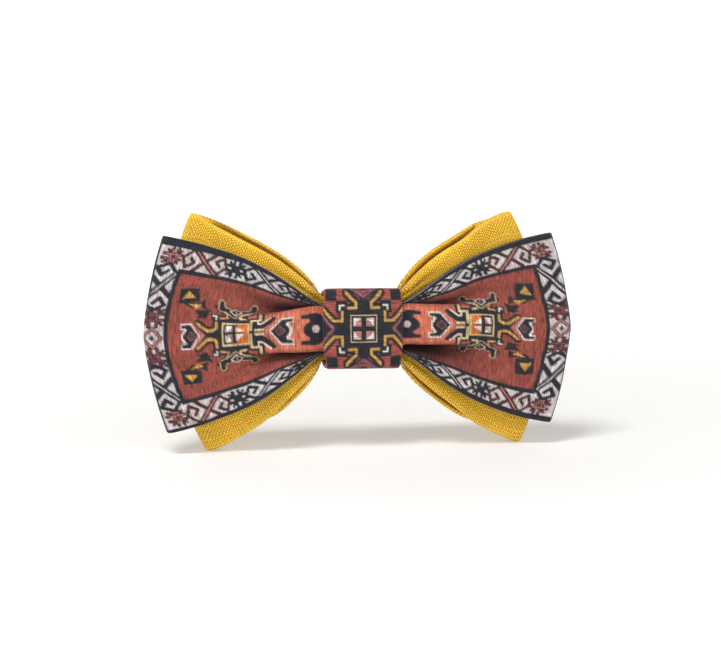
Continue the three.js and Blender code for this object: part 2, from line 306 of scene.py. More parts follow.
class Strip:
    """A flat sleeve of cloth swept through its stations, with cloth coordinates for each vertex.

    With a wall it is hollow and open at both ends; without, it is solid. At `station` its front
    faces the viewer. Its back keeps one lane in `coarse`, or in two where the cloth is creased.
    """

    def __init__(self, surface, edges, along, station, wall=0.0, coarse=1, creased=(0.0, 0.0)):
        lanes, half, steps = edges
        middle = surface(lanes)
        normal = sheet_normals(middle)
        if normal[station, len(lanes) // 2, 1] > 0:
            normal = -normal
        soft = unit(blurred(normal, 6))
        last = len(lanes) - 1
        back = [
            i for i in range(last - 1, 0, -1)
            if i < steps or i > last - steps or (i - steps) % coarse == 0
            or (creased[0] < abs(lanes[i]) < creased[1] and i % 2 == 0)
        ]
        self.order = list(range(last + 1)) + back
        front_points = middle + normal * half[None, :, None]
        back_points = (middle - soft * half[None, :, None])[:, back]
        self.outer = np.concatenate([front_points, back_points], axis=1)
        self.inside = []
        if wall:
            self.inside = [i for i in back[::-1] if half[i] > wall + LEAST_HOLLOW]
            depth = (half[self.inside] - wall)[None, :, None]
            inner_front = middle[:, self.inside] + normal[:, self.inside] * depth
            inner_back = (middle[:, self.inside] - soft[:, self.inside] * depth)[:, ::-1]
            self.inner = np.concatenate([inner_front, inner_back], axis=1)
        self.stations = len(middle)
        self.lane = np.tile(lanes[self.order], (self.stations, 1))
        self.along = np.tile(np.asarray(along)[:, None], (1, len(self.order)))
        self.edge = np.tile(1 - (half / half.max())[self.order], (self.stations, 1))

    def cap(self, outer_start, inner_start):
        """The faces of an open end, between the outer and the inner ring, or of a solid end."""
        ring = len(self.order)
        if not self.inside:
            return [[outer_start + i for i in range(ring)]]
        last = max(self.order)
        back_places = {lane: last + 1 + i for i, lane in enumerate(self.order[last + 1:])}
        anchors = self.inside + [back_places[lane] for lane in self.inside[::-1]]
        count = len(anchors)
        faces = []
        for k in range(count):
            a, b = anchors[k], anchors[(k + 1) % count]
            span = range(a, b + 1) if b > a else list(range(a, ring)) + list(range(0, b + 1))
            inner = [inner_start + (k + 1) % count, inner_start + k]
            faces.append([outer_start + i for i in span] + inner)
        return faces

    def make(self, name, material, colours=None):
        ring, inner_ring = len(self.order), 2 * len(self.inside)
        points = self.outer.reshape(-1, 3)
        outer_count = len(points)
        faces = tube_faces(0, self.stations, ring)
        if inner_ring:
            points = np.concatenate([points, self.inner.reshape(-1, 3)])
            faces += tube_faces(outer_count, self.stations, inner_ring, turned=True)
        faces += self.cap(0, outer_count)
        faces += self.cap(outer_count - ring, len(points) - inner_ring)
        mesh = bpy.data.meshes.new(name)
        mesh.from_pydata(place(points).tolist(), [], faces)
        padding = len(points) - outer_count
        uv = np.stack([self.along.ravel(), self.lane.ravel()], axis=1)
        uv = np.concatenate([uv, np.zeros((padding, 2))])
        layer = mesh.uv_layers.new(name="cloth")
        loop_vertices = np.zeros(len(mesh.loops), dtype=np.int32)
        mesh.loops.foreach_get("vertex_index", loop_vertices)
        layer.data.foreach_set("uv", uv[loop_vertices].ravel().astype(np.float32))
        if colours is not None:
            colours = np.concatenate([colours, np.tile(REVERSE, (padding, 1))])
            rgba = np.concatenate([colours, np.ones((len(colours), 1))], axis=1)
            # the colours carry the print, and painted shade and light where the colour function paints
            # them
            attribute = mesh.color_attributes.new(name="print", type="FLOAT_COLOR", domain="POINT")
            attribute.data.foreach_set("color", rgba.ravel().astype(np.float32))
        return finished(name, mesh, material)


def finished(name, mesh, material):
    """Makes a piece of a closed mesh, with its faces turned outwards."""
    fixed = bmesh.new()
    fixed.from_mesh(mesh)
    bmesh.ops.recalc_face_normals(fixed, faces=fixed.faces)
    fixed.to_mesh(mesh)
    fixed.free()
    mesh.shade_smooth()
    mesh.materials.append(material)
    return new_object(name, mesh)


# ---- the print


def linear(r, g, b):
    """A screen colour, 0 to 255, as the linear light that the shaders use."""
    c = np.array([r, g, b], dtype=float) / 255
    return np.where(c <= 0.04045, c / 12.92, ((c + 0.055) / 1.055) ** 2.4)


RED = linear(155, 78, 67)
# painted light: a lighter, oranger red for the pleat's crest, where it faces the lamps
LIT_RIDGE_RED = linear(214, 120, 94)
DUSTY = linear(168, 84, 74)
CHARCOAL = linear(40, 43, 49)
GROUND = linear(216, 205, 206)
WHITE = linear(236, 226, 220)
PINK = linear(206, 138, 130)
SALMON = linear(218, 128, 104)
MAUVE = linear(146, 92, 104)
GOLD = linear(214, 162, 86)
BEIGE = linear(226, 198, 148)
ORANGE = linear(214, 116, 56)
BROWN = linear(82, 48, 46)
REVERSE = linear(214, 190, 184)
DYE_DEPTH = 0.76
BLUR = 0.16  # how far the dye spreads at the edge of a shape


class Dye:
    """Colours points of the cloth; shapes are drawn on the quarter x >= 0, y >= 0 and mirrored."""

    def __init__(self, x, y, ground):
        self.x, self.y = np.abs(x), np.abs(y)
        self.rgb = np.tile(ground, (len(x), 1))

    def near(self, points, reach):
        low = np.min(points, axis=0) - reach
        high = np.max(points, axis=0) + reach
        return np.flatnonzero(
            (self.x > low[0]) & (self.x < high[0]) & (self.y > low[1]) & (self.y < high[1])
        )

    def distance(self, index, points, closed):
        """Distance from each point to the line through `points`."""
        x, y = self.x[index], self.y[index]
        best = np.full(len(index), 1e9)
        ends = np.roll(points, -1, axis=0) if closed else points[1:]
        for a, b in zip(points, ends):
            d = b - a
            t = np.clip(((x - a[0]) * d[0] + (y - a[1]) * d[1]) / max(d @ d, 1e-9), 0, 1)
            best = np.minimum(best, np.hypot(x - a[0] - t * d[0], y - a[1] - t * d[1]))
        return best

    def blend(self, index, cover, colour):
        cover = np.clip(cover, 0, 1)[:, None]
        self.rgb[index] = self.rgb[index] * (1 - cover) + colour * cover

    def fill(self, points, colour):
        points = np.asarray(points, dtype=float)
        index = self.near(points, BLUR)
        if not len(index):
            return
        x, y = self.x[index], self.y[index]
        inside = np.zeros(len(index), dtype=bool)
        for a, b in zip(points, np.roll(points, -1, axis=0)):
            if a[1] == b[1]:
                continue
            crosses = (a[1] > y) != (b[1] > y)
            inside ^= crosses & (x < (b[0] - a[0]) * (y - a[1]) / (b[1] - a[1]) + a[0])
        signed = np.where(inside, 1, -1) * self.distance(index, points, True)
        self.blend(index, 0.5 + signed / BLUR, colour)

    def line(self, points, width, colour, closed=False):
        points = np.asarray(points, dtype=float)
        index = self.near(points, width)
        if len(index):
            gap = width / 2 - self.distance(index, points, closed)
            self.blend(index, 0.5 + gap / BLUR, colour)

    def box(self, x0, x1, y0, y1, colour):
        self.fill([(x0, y0), (x1, y0), (x1, y1), (x0, y1)], colour)

    def dot(self, x, y, radius, colour):
        turn = np.linspace(0, 2 * math.pi, 13)[:-1]
        self.fill(np.stack([x + radius * np.cos(turn), y + radius * np.sin(turn)], axis=1), colour)


class Turned:
    """Draws on a Dye with its axes moved, turned and stretched."""

    def __init__(self, dye, origin, along, across):
        self.dye, self.origin = dye, np.array(origin, dtype=float)
        self.basis = np.array([along, across], dtype=float)

    def move(self, points):
        return np.asarray(points, dtype=float) @ self.basis + self.origin

    def fill(self, points, colour):
        self.dye.fill(self.move(points), colour)

    def line(self, points, width, colour, closed=False):
        self.dye.line(self.move(points), width, colour, closed)


def border_flower(pen, outline, core):
    """Eight petals round a small square, as a crossed pair of double bars."""
    bars = []
    for offset in (-0.85, 0.85):
        bars.append([(-2.7, offset), (2.7, offset)])
        bars.append([(offset, -2.7), (offset, 2.7)])
    for bar in bars:
        pen.line(bar, 1.05, outline)
    for x in (-1, 1):
        for y in (-1, 1):
            pen.line([(x * 1.3, y * 1.3), (x * 2.2, y * 2.2)], 0.8, outline)
    if core is not None:
        for bar in bars:
            pen.line(np.array(bar) * 0.86, 0.24, core * 0.8)
    pen.fill([(-0.5, -0.5), (0.5, -0.5), (0.5, 0.5), (-0.5, 0.5)], outline)


def border_cross(pen, outline, seam):
    """A crossing of two bars with a bent hook on either side."""
    for side in (-1, 1):
        hook = [(1.5, 1.9), (4.6, 3.0), (6.9, 0.3), (5.4, -2.6), (3.3, -0.9), (4.7, 0.5)]
        pen.line(np.array(hook) * side, 1.05, outline)
    pen.line([(-2.9, 3.4), (3.1, -3.4)], 1.3, outline)
    pen.line([(-4.1, -3.4), (4.1, 3.4)], 1.75, outline)
    pen.line([(-4.1, -3.4), (4.1, 3.4)], 0.32, seam)


FRAME_LINE = (18.25, 19.55)  # heights on the cloth of the dark line round the field
BORDER_END = 25.8  # and of the dark band outside the border
BORDER_MIDDLE = 22.9
FIELD_END = 55.9  # distance along the cloth to the outer side of the dark line
FRAME_WIDTH = 1.3
END_BORDER = 58.5


def paint_border(dye):
    far = FRONT_HALF_WIDTH + 12
    dye.box(-1, far, FRAME_LINE[1], 40, GROUND)
    dye.box(FIELD_END, far, -1, 40, GROUND)
    for x, outline, core in ((58.9, BROWN, PINK), (39.2, CHARCOAL, None), (19.6, CHARCOAL, None)):
        size = 0.86 if core is not None else 1.0
        border_flower(Turned(dye, (x, BORDER_MIDDLE), (size, 0), (0, size)), outline, core)
    for x, outline, seam in ((48.9, BROWN, PINK), (29.5, CHARCOAL, GROUND), (9.8, CHARCOAL, GROUND)):
        border_cross(Turned(dye, (x, BORDER_MIDDLE), (1.02, 0), (0, 0.98)), outline, seam)
    border_flower(Turned(dye, (END_BORDER, 5.6), (1.0, 0), (0, 0.95)), BROWN, MAUVE)
    border_cross(Turned(dye, (END_BORDER + 0.4, 14.2), (0, 0.96), (-0.86, 0)), CHARCOAL, GROUND)
    diamond = [(END_BORDER - 2.1, 0), (END_BORDER, 2.7), (END_BORDER + 2.1, 0), (END_BORDER, -2.7)]
    dye.line(diamond, 0.95, BROWN, closed=True)
    dye.line(diamond, 0.28, PINK, closed=True)
    dye.fill([(END_BORDER - 0.5, 0), (END_BORDER + 0.1, 0.9), (END_BORDER + 0.7, 0)], CHARCOAL)
    dye.box(-1, FIELD_END, FRAME_LINE[0], FRAME_LINE[1], CHARCOAL)
    dye.box(FIELD_END - FRAME_WIDTH, FIELD_END, -1, FRAME_LINE[1], CHARCOAL)
    dye.box(-1, far, BORDER_END, 40, CHARCOAL)


def outlined(dye, points, width, colour, outline, extra):
    dye.line(points, width + extra, outline)
    dye.line(points, width, colour)


def paint_crown(dye):
    dye.fill([(10.6, -1), (10.6, 3.0), (11.8, 3.9), (13.2, 4.4), (17.3, 4.2), (17.3, 3.0),
              (15.2, 2.9), (15.0, 2.3), (16.2, 1.5), (16.8, 0.5), (16.8, -1)], CHARCOAL)
    dye.dot(13.3, 0, 1.05, WHITE * 0.6 + PINK * 0.4)


def paint_shield(dye, tip, sense, size):
    """A horned shield; its tip points away from the knot where sense is 1."""
    def at(points):
        return [(tip - sense * x * size, y * size) for x, y in points]

    dye.fill(at([(0, -1), (0, 0), (3.1, 4.0), (6.7, 4.0), (6.7, 2.4), (5.3, 2.2),
                 (6.1, 0.6), (6.2, -1)]), WHITE)
    dye.fill(at([(0.5, -1), (0.5, 0), (3.3, 3.6), (6.4, 3.6), (6.4, 2.6), (4.7, 2.5),
                 (4.5, 2.0), (5.6, 0.4), (5.7, -1)]), CHARCOAL)
    dye.line(at([(1.6, 0), (2.9, 1.4), (4.3, 0)]), 0.24, PINK * 0.5)
    dye.line(at([(2.3, 0), (2.9, 0.6), (3.5, 0)]), 0.22, MAUVE * 0.7)


def paint_medallion(dye):
    # the dark body round the square, and its stems
    dye.box(30.6, 40.2, -1, 4.3, CHARCOAL)
    dye.box(39.0, 44.2, -1, 1.5, CHARCOAL)
    dye.fill([(34.4, 4.0), (39.0, 4.0), (38.4, 6.6), (35.0, 6.6)], CHARCOAL)
    # arms towards the knot
    dye.box(27.3, 31.4, -1, 1.15, BEIGE)
    dye.line([(27.2, 0), (31.6, 0)], 0.42, BROWN)
    outlined(dye, [(30.9, 0.75), (30.9, 4.4), (28.4, 4.4), (28.4, 6.2)], 0.7, BEIGE, CHARCOAL, 1.4)
    dye.line([(29.7, 3.4), (29.7, 1.9), (27.8, 1.9), (24.9, 4.3)], 1.6, CHARCOAL)
    dye.line([(29.0, 3.9), (28.9, 3.0), (28.1, 3.0), (25.6, 4.9)], 0.42, WHITE)
    dye.line([(26.6, 0), (23.2, 4.4)], 0.5, SALMON)
    dye.line([(27.2, 0.2), (24.0, 4.4)], 0.35, MAUVE)
    # the square, its bar and its panes
    dye.box(31.4, 39.0, -1, 3.5, BEIGE)
    dye.box(31.9, 35.2, -1, 3.0, ORANGE)
    dye.box(35.0, 38.5, -1, 3.0, CHARCOAL)
    dye.fill([(32.6, 0.3), (35.0, 0.3), (35.0, 2.2)], WHITE)
    dye.line([(32.8, 0), (35.2, 0)], 0.35, CHARCOAL)
    dye.box(36.2, 38.0, 0.4, 2.4, WHITE)
    dye.fill([(36.2, 0.4), (37.6, 0.4), (36.2, 2.0)], PINK)
    # arms away from the knot
    arm = [(40.7, 3.5), (40.7, 1.7), (41.7, 1.2), (43.2, 1.2), (46.4, 3.4)]
    outlined(dye, arm, 0.75, GOLD, CHARCOAL, 1.5)
    dye.line([(44.6, 0), (48.0, 3.6)], 0.5, SALMON)
    dye.line([(44.0, 0.1), (47.2, 3.6)], 0.35, MAUVE)
    # side arms, and the hooked shapes with a ring
    arm = [(39.6, 4.9), (37.6, 5.2), (38.0, 6.6), (40.6, 8.6)]
    outlined(dye, arm, 0.55, GOLD * 0.6 + PINK * 0.4, CHARCOAL, 1.3)
    arm = [(32.6, 5.0), (34.4, 5.2), (34.0, 6.3), (31.4, 7.0)]
    outlined(dye, arm, 0.5, BEIGE, CHARCOAL, 1.3)
    hook = [(30.9, 10.5), (31.3, 8.5), (33.4, 8.2), (35.6, 6.2), (38.0, 7.9), (39.6, 8.2), (39.9, 10.0)]
    outlined(dye, hook, 1.5, CHARCOAL, BEIGE * 0.7 + MAUVE * 0.3, 0.6)
    lozenge = [(34.0, 7.6), (35.6, 6.1), (37.2, 7.6), (35.6, 9.1)]
    dye.fill(lozenge, CHARCOAL)
    dye.line(lozenge, 0.3, WHITE, closed=True)
    dye.line([(35.6, 6.9), (35.6, 8.3)], 0.35, PINK)
    dye.box(40.0, 42.4, 4.2, 6.1, CHARCOAL)
    dye.line([(40.7, 4.6), (40.7, 5.5), (41.8, 5.5)], 0.4, WHITE)


def paint_steps(dye):
    """A flight of triangles and a square towards each corner of the field."""
    dye.fill([(43.6, 4.6), (42.6, 7.6), (44.4, 7.0), (47.6, 7.2), (46.0, 5.6), (47.2, 5.2)], CHARCOAL)
    dye.fill([(44.0, 7.2), (44.8, 10.2), (46.0, 9.4), (51.8, 9.7), (49.0, 7.9), (46.4, 8.2)], CHARCOAL)
    dye.fill([(45.6, 8.7), (49.8, 9.2), (47.0, 7.6)], GOLD)
    dye.fill([(46.6, 9.7), (52.6, 9.3), (53.2, 13.6), (47.4, 13.9)], CHARCOAL)
    dye.fill([(48.2, 10.9), (51.9, 10.6), (50.4, 12.9)], GOLD)


PRINT_DROP = {-1: 0.6, 1: 0.1}  # how far the print sits below the middle of each wing
FRAME_BEND = 1.4  # how much more than the cloth's lines the print's frame is bowed outwards
OUTER_LINE = 60.3  # distance along the cloth of the dark line at the wing's end
OUTER_LINE_HALF = 0.75
POCKET_REACH = 11.0  # the shadow beside the pleat reaches this far up the cloth
LOW_POCKET_REACH = 14.5  # and this far on the lower half of the right wing


def repeated(values, strip):
    """One value for each station, for every point of the strip."""
    return np.tile(values[:, None], (1, strip.lane.shape[1])).ravel()


def lay_print(bow, strip):
    """Where each point of the strip lies on the print."""
    side = np.sign(strip.along.ravel())
    reach = repeated(bow.printed, strip)
    down = np.where(side < 0, PRINT_DROP[-1], PRINT_DROP[1])
    height = strip.lane.ravel() + down * grows(reach, 30, 22)
    reach = np.where(side > 0, reach * 1.03 + 0.4, reach)
    reach = np.where(side < 0, reach + 0.9 * grows(reach, 38, 14), reach)
    beyond = np.maximum(reach - FIELD_END, 0)
    reach = reach - beyond * np.where(side > 0, 0.2, 0.12)
    reach = reach + FRAME_BEND * (height / FRAME_LINE[0]) ** 2 * reach / FIELD_END
    return reach, height


def worn_edges(dye, strip, start, most, light):
    """The dyed colours, with any painted shade and light in them, rubbed pale where the strip turns over
    its edges.
    """
    worn = grows(strip.edge.ravel(), start, 0.5)[:, None] * most
    return dye.rgb * DYE_DEPTH * (1 - worn) + REVERSE * light * worn


def bow_print_and_shade(strip):
    """The carpet-like print of the front bow, by distance along the cloth and height on it, with painted
    light on the pleat's crest and painted shadow beside the pleat and at the knot.
    """
    dye = Dye(*lay_print(front_bow, strip), RED)
    # painted light on the pleat's crest near the knot, blended over the red ground
    dye.blend(np.arange(len(dye.x)), fades(dye.y, 4.6, 2.4) * fades(dye.x, 24, 20), LIT_RIDGE_RED)
    paint_crown(dye)
    paint_shield(dye, 25.9, 1, 1.0)
    paint_medallion(dye)
    paint_shield(dye, 45.4, -1, 0.88)
    paint_steps(dye)
    paint_border(dye)
    reach = repeated(front_bow.printed, strip)
    lane, right = strip.lane.ravel(), strip.along.ravel() > 0
    level = np.abs(lane)
    line = np.clip(0.5 + (OUTER_LINE_HALF - np.abs(reach - OUTER_LINE)) / BLUR, 0, 1)
    dye.blend(np.arange(len(reach)), line * np.where(right, 1.0, grows(level, 7, 5)), CHARCOAL)
    # painted shadow in the hollow beside the pleat, and painted shade where the cloth is drawn together
    # at the knot
    low = (lane < 0) & right
    pocket_shadow = grows(level, 5.8, 0.6) * fades(level, np.where(low, LOW_POCKET_REACH, POCKET_REACH), 8)
    pocket_shadow = pocket_shadow * fades(reach, np.where(low, 17, 14), 25)
    gathered_shadow = grows(level, 9, 5) * fades(reach, 14, 13)
    dye.rgb = dye.rgb * ((1 - 0.86 * pocket_shadow) * (1 - 0.72 * gathered_shadow))[:, None]
    return worn_edges(dye, strip, 0.35, 0.6, 0.6)


def knot_print(strip):
    """A stepped cross medallion on a dusty red ground."""
    dye = Dye(strip.lane.ravel(), strip.along.ravel(), DUSTY)
    for box in ((7.9, 11.0, 7.6, 10.4), (-1, 5.1, -1, 5.1), (-1, 8.6, -1, 1.9),
                (-1, 1.6, -1, 8.0), (4.6, 8.0, 4.3, 7.7)):
        dye.box(*box, CHARCOAL)
    dye.fill([(9.0, -1), (9.0, 0), (11.2, 2.9), (14, 2.9), (14, -1)], CHARCOAL)
    for arm in ([(4.4, 5.75), (2.15, 5.75), (2.15, 7.1), (5.2, 9.6)],
                [(6.1, 4.6), (6.1, 2.15), (8.4, 2.15), (11.4, 5.4)]):
        outlined(dye, arm, 0.75, GOLD, CHARCOAL, 1.6)
    dye.line([(0, 8.4), (5.0, 11.2)], 1.4, CHARCOAL)
    dye.line([(0, 8.6), (4.8, 11.3)], 0.7, MAUVE)
    dye.line([(8.5, 0), (11.6, 3.8)], 0.7, MAUVE)
    dye.line([(6.9, 5.3), (6.9, 6.45), (5.7, 6.45)], 0.5, WHITE)
    dye.fill([(-1, 10.1), (0.6, 10.1), (1.5, 10.9), (0.6, 11.7), (-1, 11.7)], CHARCOAL)
    dye.line([(3.65, -1), (3.65, 3.65), (-1, 3.65)], 0.36, BEIGE * 0.7 + MAUVE * 0.3)
    dye.box(0.75, 2.85, 0.75, 2.85, WHITE)
    dye.fill([(0.75, 0.75), (2.7, 0.75), (2.0, 2.0), (0.75, 2.7)], PINK * 0.85)
    return worn_edges(dye, strip, 0.4, 0.45, 0.55)


# ---- the bows

PLY_HALF = 0.6  # half the thickness of the front bow's strip
BACK_PLY_HALF = 0.75
COVER_WALL = 0.28  # thickness of a sleeve's own cloth
LINING_INSET = 0.9  # how far the stiffening stays inside its sleeve, at the edges
LINING_EASE = 0.2  # and at the faces
FINE = 0.34  # spacing of the lanes on the printed cloth
BACK_SPACING = 0.7
CREASED_LANES = (4.4, 13.6)  # where the pleat bends, so the back needs more lanes
GAP_HALF = 0.8  # half the gap between a strip's two ends

# The front bow's cross-section, in millimetres: the lanes of the crest's middle, the crest's edge,
# the foot of its flank, the valley beside it, the print's inner frame line and the strip's edge.
# Each table starts with distances from the knot's middle; below are, lane by lane, the heights
# there, and how far forward the cloth stands.
FRONT_ROWS = (0, 5.9, 8.5, 12.0, 17.0, 27.6)
FRONT_HEIGHT = (
    (0, 9, 11.5, 14, 17, 20, 24, 28, 32, 38, 46, 56),
    (0, 0, 0, 0, 0, 0, 0, 0, 0, 0, 0, 0),
    (5.6, 5.9, 5.9, 5.9, 5.9, 5.9, 5.8, 5.8, 5.9, 6.0, 6.0, 6.0),
    (4.4, 4.6, 4.7, 4.7, 4.8, 5.1, 5.8, 6.7, 7.6, 8.3, 8.5, 8.5),
    (4.8, 5.1, 5.2, 5.3, 5.5, 6.1, 7.2, 8.5, 9.8, 11.2, 11.9, 12.0),
    (5.6, 6.0, 6.3, 6.9, 7.6, 8.4, 9.4, 10.8, 12.2, 13.8, 15.6, 17.0),
    (6.2, 6.6, 7.1, 8.5, 10.7, 13.0, 15.9, 18.3, 20.4, 22.8, 25.4, 27.6),
)
FRONT_FORWARD = (
    FRONT_HEIGHT[0],
    (2.2, 2.8, 2.9, 3.9, 4.9, 4.6, 3.8, 2.8, 1.8, 0.8, 0.4, 0),
    (2.0, 2.6, 2.7, 3.6, 4.3, 3.9, 3.1, 2.1, 1.1, 0.5, 0.2, 0),
    (0.1, -0.1, -0.5, -0.8, -0.9, -0.8, -0.4, 0.0, 0.1, 0.1, 0, 0),
    (-0.3, -0.7, -1.1, -1.5, -1.6, -1.5, -1.1, -0.6, -0.3, -0.1, 0, 0),
    (0.2, 0.2, 0.7, 1.8, 2.7, 2.9, 2.6, 1.9, 1.2, 0.5, 0.1, 0),
    (0.6, 0.8, 1.4, 2.8, 3.8, 4.1, 3.7, 3.0, 2.1, 1.1, 0.3, 0),
)
# The back bow: the heights of its front and its back layer's edge, at distances from the knot.
BACK_AT = (0, 9, 11.2, 13, 16.5, 22.5, 31, 38, 45, 54)
BACK_EDGE_FRONT = (8.2, 8.8, 9.3, 11.0, 14.8, 20.0, 25.3, 29.5, 33.4, 33.4)
BACK_EDGE_BACK = (8.2, 8.8, 9.5, 13.0, 17.3, 22.3, 27.4, 31.0, 33.4, 33.4)
# Its pleats: the lanes of the crest's edge and its foot, then the heights they stand at.
BACK_PLEAT_FRONT = (4.5, 8.0, 2.7, 2.5)
BACK_PLEAT_BACK = (3.2, 6.4, 1.4, 1.2)


def grid(lanes, *columns):
    """The lanes at every station, and each column of stations' values at every lane."""
    shape = (len(columns[0]), len(lanes))
    spread = [np.broadcast_to(column[:, None], shape) for column in columns]
    return [np.broadcast_to(lanes, shape)] + spread


def loop_stations(tip, fine, coarse, fold_steps):
    """A strip's loop: signed distance from the knot, and the turn round the outer fold."""
    far_back = np.linspace(GAP_HALF, tip - 10, int(tip / coarse) - 4)[:-1]
    behind = np.concatenate([far_back, np.linspace(tip - 10, tip, 21)])
    ahead = np.linspace(tip, -tip, int(2 * tip / fine) + 1)
    fold = np.full(fold_steps - 1, tip)
    turn = np.linspace(0, math.pi, fold_steps + 1)
    half_turned = np.full(len(behind), math.pi)
    reach = [behind, fold, ahead, -fold, -behind[::-1]]
    turns = [half_turned, turn[-2:0:-1], np.zeros(len(ahead)), turn[1:-1], half_turned]
    return np.concatenate(reach), np.concatenate(turns)


class Bow:
    """A looped strip, pinched in the middle and folded at both ends."""

    def __init__(self, tip, bulge, power, fold_radius, ply_half, fine, coarse, fold_steps):
        self.tip, self.bulge, self.power, self.fold_radius = tip, bulge, power, fold_radius
        self.ply_half = ply_half
        self.reach, self.turn = loop_stations(tip, fine, coarse, fold_steps)
        stretch = 1 + bulge / tip
        far = tip * stretch
        middle = np.abs(self.reach) * stretch
        rolled = (fold_radius + ply_half) * self.turn
        behind = np.where(self.turn >= math.pi - 1e-6, far - middle, 0)
        self.along = np.sign(self.reach) * (middle + rolled + 2 * behind)
        self.printed = middle + fold_radius * np.minimum(self.turn, math.pi - self.turn)

    def spread(self, lanes, half_width):
        """x on the object for each station and lane, and how far back in the loop each station is."""
        level = 1 - np.abs(lanes / half_width) ** self.power
        reach = self.reach[:, None]
        x = reach * (1 + self.bulge / self.tip * level[None, :])
        x = x + np.sign(reach) * self.fold_radius * np.sin(self.turn)[:, None]
        behind = (1 - np.cos(self.turn))[:, None] / 2
        return x, np.broadcast_to(behind, x.shape)


front_bow = Bow(
    tip=52.2, bulge=5.9, power=1.5, fold_radius=1.7, ply_half=PLY_HALF,
    fine=FINE, coarse=2.0, fold_steps=14,
)
back_bow = Bow(
    tip=43.7, bulge=8.5, power=2.0, fold_radius=1.05, ply_half=BACK_PLY_HALF,
    fine=0.8, coarse=1.2, fold_steps=12,
)


CREASE = 0.28  # how softly the pleat is creased
RIDGE_LIFT = {-1: 0.4, 1: 1.3}  # the pleat sits above the middle of each wing
DROOP = 1.0  # the wings hang this much below the knot at their ends
FRONT_DEPTH = (-3.2, -1.3)  # how far back the front bow's two layers lie at the knot
FRONT_LEAN = 1.6  # how much further forward the first one stands at the wing's end


def lifted(x):
    return DROOP * fades(np.abs(x), 0, 46)


def front_surface(lanes):
    lane, _ = grid(lanes, front_bow.reach)
    x, behind = front_bow.spread(lanes, FRONT_HALF_HEIGHT)
    far, level = np.abs(x), np.abs(lane)
    height = section(FRONT_ROWS, FRONT_HEIGHT, lane, x, -1, CREASE)
    forward = section(FRONT_ROWS, FRONT_FORWARD, lane, x, 1, CREASE)
    # near the knot the layer behind is tucked in; each wing's pleat is narrowed in its own way
    tucked = 1 - 0.24 * fades(far, 14, 22) * fades(level, 12, 10)
    height = height * (1 - behind * (1 - tucked))
    taper = grows(far, 12, 18) * fades(far, 31, 14)
    narrow = np.where(x > 0, 0.11 + 0.02 * taper, np.where(lane > 0, 0.34, 0.04) * taper)
    height = height * (1 - narrow * fades(level, 8.5, 7))
    ahead = FRONT_DEPTH[0] - FRONT_LEAN * grows(far, 12, 40) - forward
    rear = FRONT_DEPTH[1] - np.where(forward > 0, 0.8, 0.3) * forward
    away = grows(far, 12, 15)
    y = ahead * (1 - behind) + rear * behind
    y = y - away * (0.28 * ripple(x, lane, 3) + 0.12 * ripple(x, lane, 4, longest=16))
    lift = np.where(x < 0, RIDGE_LIFT[-1], RIDGE_LIFT[1]) * grows(far, 8, 5)
    lift = lift * fades(level, 10, 9) * fades(far, 32, 18)
    height = height + away * 0.2 * ripple(x, lane, 5) + lifted(x) + lift
    return np.stack([x, y, height], axis=2)


SKEW = 0.045  # the back bow was tied slightly askew
BACK_DEPTH = (1.2, 3.25)  # how far back its two layers lie
UPPER_MEET = {-1: 60, 1: 41}  # where a back wing's layers meet at its upper edge, left and right
LOWER_MEET = {-1: 31, 1: 34}
MEET_SPAN = 12  # over what length they close up
GATHER_PITCH = 5.2  # of the small gathers beside the knot


def pleated(level, pleat, crest, foot, crest_height, foot_height, edge):
    """Height of a layer's cloth: even where `pleat` is 0.

    Where it is 1 the cloth goes out to the crest's edge, in to its foot, then to its own edge.
    """
    inner = np.interp(level, (0, crest, foot), (0, crest_height, foot_height))
    outer = foot_height + (level - foot) / (BACK_HALF_HEIGHT - foot) * (edge - foot_height)
    folded = np.where(level < foot, inner, outer)
    return folded * pleat + edge * level / BACK_HALF_HEIGHT * (1 - pleat)


def opened(x, height):
    """How far the two layers of a back wing stand apart at its edge, 1 at the knot to 0 at the tip."""
    upper = np.where(x < 0, UPPER_MEET[-1], UPPER_MEET[1])
    lower = np.where(x < 0, LOWER_MEET[-1], LOWER_MEET[1])
    end = np.where(height > 0, upper, lower)
    return 1 - smooth((np.abs(x) - end + MEET_SPAN) / MEET_SPAN)


